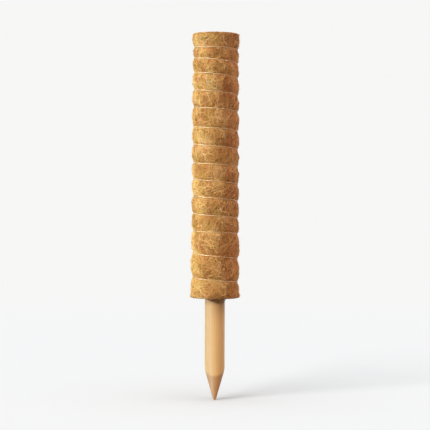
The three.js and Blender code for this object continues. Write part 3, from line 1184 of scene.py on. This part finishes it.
@dataclass
class Studio:
    """A pale floor that fades into an even backdrop, a bright soft light on the left with warm
    light back from the right, and a camera at the photograph's view. The sizes are in mm and
    the camera's roll is in degrees."""

    floor_height: float = -112.0
    floor_half: float = 60000.0
    focal_px: float = 1455.0
    frame_px: float = 430.0
    sensor: float = 36.0
    camera_distance: float = 1594.7
    camera_height: float = 90.4
    camera_side: float = -0.25
    camera_roll: float = 0.234
    sweep_start: float = 500.0
    sweep_end: float = 2500.0
    backdrop: str = "#F7F7F6"
    floor_colour: str = "#F0F0EF"
    sky_colour: str = "#FFF0E2"
    sky: float = 0.12
    ground: float = 0.08
    gloss_sky: float = 0.7
    lights: tuple[SoftLight, ...] = (
        SoftLight("left_softbox", 61.5, 16.0, 3.84, 30.0, Reach.COIR, "#F4FDEE"),
        SoftLight("warm_bounce", -42.0, 30.0, 1.08, 44.0, Reach.COIR, "#FFC494"),
        SoftLight("coir_gloss", 50.0, 12.0, 8.0, 62.0, Reach.COIR, "#FFFCD4", gloss_only=True),
        SoftLight("thread_gloss", 50.0, 12.0, 14.0, 70.0, Reach.THREAD, gloss_only=True),
        SoftLight("low_softbox", 62.0, -26.0, 2.5, 36.0, Reach.WOOD, "#CCEEFF", through_floor=True),
        SoftLight("low_front", 24.0, 0.0, 1.1, 36.0, Reach.WOOD, "#FFDDA4", through_floor=True),
        SoftLight("high_left", 42.0, 44.0, 1.15, 36.0, Reach.WOOD, "#B0DAFF"),
        SoftLight("high_right", -50.0, 50.0, 1.4, 36.0, Reach.WOOD, "#FFEAE0"),
        SoftLight(
            "floor_gloss", 70.0, -32.0, 4.8, 60.0, Reach.WOOD, gloss_only=True, through_floor=True
        ),
        SoftLight("right_gloss", -74.0, 8.0, 7.0, 60.0, Reach.COIR, "#FFE9D6", gloss_only=True),
        SoftLight("back_fill", 180.0, 24.0, 1.7, 60.0, Reach.POLE, "#FFF6EA"),
        SoftLight("side_fill", -132.0, 18.0, 1.1, 44.0, Reach.POLE, "#FFF0E0"),
        SoftLight("floor_wash", 0.0, 85.0, 2.12, 60.0, Reach.FLOOR, "#F6FAFF"),
        SoftLight("floor_light", 40.0, 35.0, 1.7, 34.0, Reach.FLOOR),
    )

    def add_light(self, light: SoftLight, receivers: dict[Reach, bpy.types.Collection]) -> None:
        """Adds a light as a sun lamp, which falls only on what it is said to reach."""
        lamp = bpy.data.lights.new(light.name, "SUN")
        lamp.energy, lamp.angle = light.strength, math.radians(light.width)
        lamp.color = linear(light.colour)[:3]
        holder = bpy.data.objects.new(light.name, lamp)
        tilt, turn = math.radians(90 - light.elevation), math.radians(-light.azimuth)
        holder.rotation_euler = (tilt, 0, turn)
        holder.visible_diffuse = not light.gloss_only
        holder.light_linking.receiver_collection = receivers[light.reach]
        if light.through_floor:
            holder.light_linking.blocker_collection = receivers[Reach.POLE]
        bpy.context.scene.collection.objects.link(holder)

    def add_floor(self) -> bpy.types.Object:
        """Adds the floor, whose own reflection of the lights doesn't reach the pole."""
        half, level = self.floor_half * MM, self.floor_height * MM
        sides = ((-1, -1), (1, -1), (1, 1), (-1, 1))
        corners = [(x * half, y * half, level) for x, y in sides]
        mesh = bpy.data.meshes.new("studio_floor")
        mesh.from_pydata(corners, [], [(0, 1, 2, 3)])
        material, node = new_material("matt_paper_sweep")
        finish = {"Base Color": self.floor_colour, "Roughness": 1.0, "Specular IOR Level": 0.0}
        paper = node("BsdfPrincipled", finish)
        glow = node("Emission", {"Color": self.backdrop})
        place = node("TexCoord").outputs["Object"]
        distance = node("VectorMath", {0: place}, operation="LENGTH").outputs["Value"]
        reach = {"From Min": self.sweep_start * MM, "From Max": self.sweep_end * MM}
        far = node("MapRange", {"Value": distance} | reach, interpolation_type="SMOOTHSTEP")
        node("OutputMaterial", {"Surface": node("MixShader", {0: far, 1: paper, 2: glow})})
        mesh.materials.append(material)
        floor = bpy.data.objects.new("studio_floor", mesh)
        floor.visible_diffuse = False
        bpy.context.scene.collection.objects.link(floor)
        return floor

    def surround(self) -> bpy.types.World:
        """The surroundings: an even backdrop for the camera, and light that is stronger from
        over the floor's level than from under it."""
        world = bpy.data.worlds.new("studio")
        world.use_nodes = True
        world.node_tree.nodes.clear()
        node = partial(add_node, world.node_tree)
        toward = node("TexCoord").outputs["Generated"]
        upward = node("SeparateXYZ", {0: toward}).outputs["Z"]
        levels = {"To Min": self.ground, "To Max": self.sky}
        level = node("MapRange", {"Value": upward, "From Min": -0.15, "From Max": 0.15} | levels)
        light = node("Background", {"Color": self.sky_colour, "Strength": level})
        mirrored = node("Background", {"Color": self.backdrop, "Strength": self.gloss_sky})
        seen = node("Background", {"Color": self.backdrop, "Strength": 1.0})
        ray = node("LightPath").outputs
        unseen = node("MixShader", {0: ray["Is Glossy Ray"], 1: light, 2: mirrored})
        mixed = node("MixShader", {0: ray["Is Camera Ray"], 1: unseen, 2: seen})
        node("OutputWorld", {"Surface": mixed})
        return world

    def add_camera(self) -> bpy.types.Object:
        """The camera: level, in front of the pole, turned a touch as the photograph is."""
        camera = bpy.data.cameras.new("photo_view")
        camera.sensor_width = self.sensor
        camera.lens = self.focal_px / self.frame_px * self.sensor
        camera.clip_start, camera.clip_end = 0.05, 200.0
        holder = bpy.data.objects.new("photo_view", camera)
        place = (self.camera_side, -self.camera_distance, self.camera_height)
        holder.location = [part * MM for part in place]
        holder.rotation_euler = (math.radians(90), math.radians(-self.camera_roll), 0)
        bpy.context.scene.collection.objects.link(holder)
        return holder

    def build(self) -> None:
        """Makes the floor, the lights, the surroundings and the camera."""
        scene = bpy.context.scene
        scene.view_settings.view_transform = "Standard"
        pieces = [item for item in scene.objects if item.type == "MESH"]
        wood = [piece for piece in pieces if piece.name == "wooden_stake"]
        lit = {
            Reach.POLE: pieces,
            Reach.COIR: [piece for piece in pieces if piece not in wood],
            Reach.THREAD: [piece for piece in pieces if piece.name == "thread_winding"],
            Reach.WOOD: wood,
            Reach.FLOOR: [self.add_floor()],
        }
        receivers: dict[Reach, bpy.types.Collection] = {}
        for reach, items in lit.items():
            receivers[reach] = bpy.data.collections.new("lit_" + reach.name.lower())
            for item in items:
                receivers[reach].objects.link(item)
        for light in self.lights:
            self.add_light(light, receivers)
        scene.world = self.surround()
        scene.camera = self.add_camera()


def main() -> None:
    """Builds the pole from the inside out, and then the studio round it."""
    logging.basicConfig(level=logging.INFO, format="%(name)s: %(message)s")
    winding = Winding()
    Stake().build()
    CoreTube().build()
    Brads().build()
    skin = CoirSkin(winding, np.random.default_rng(11))
    CoirBody(winding, skin, np.random.default_rng(29)).build()
    BindingThread(winding).build()
    Studio().build()


if __name__ == "__main__":
    main()
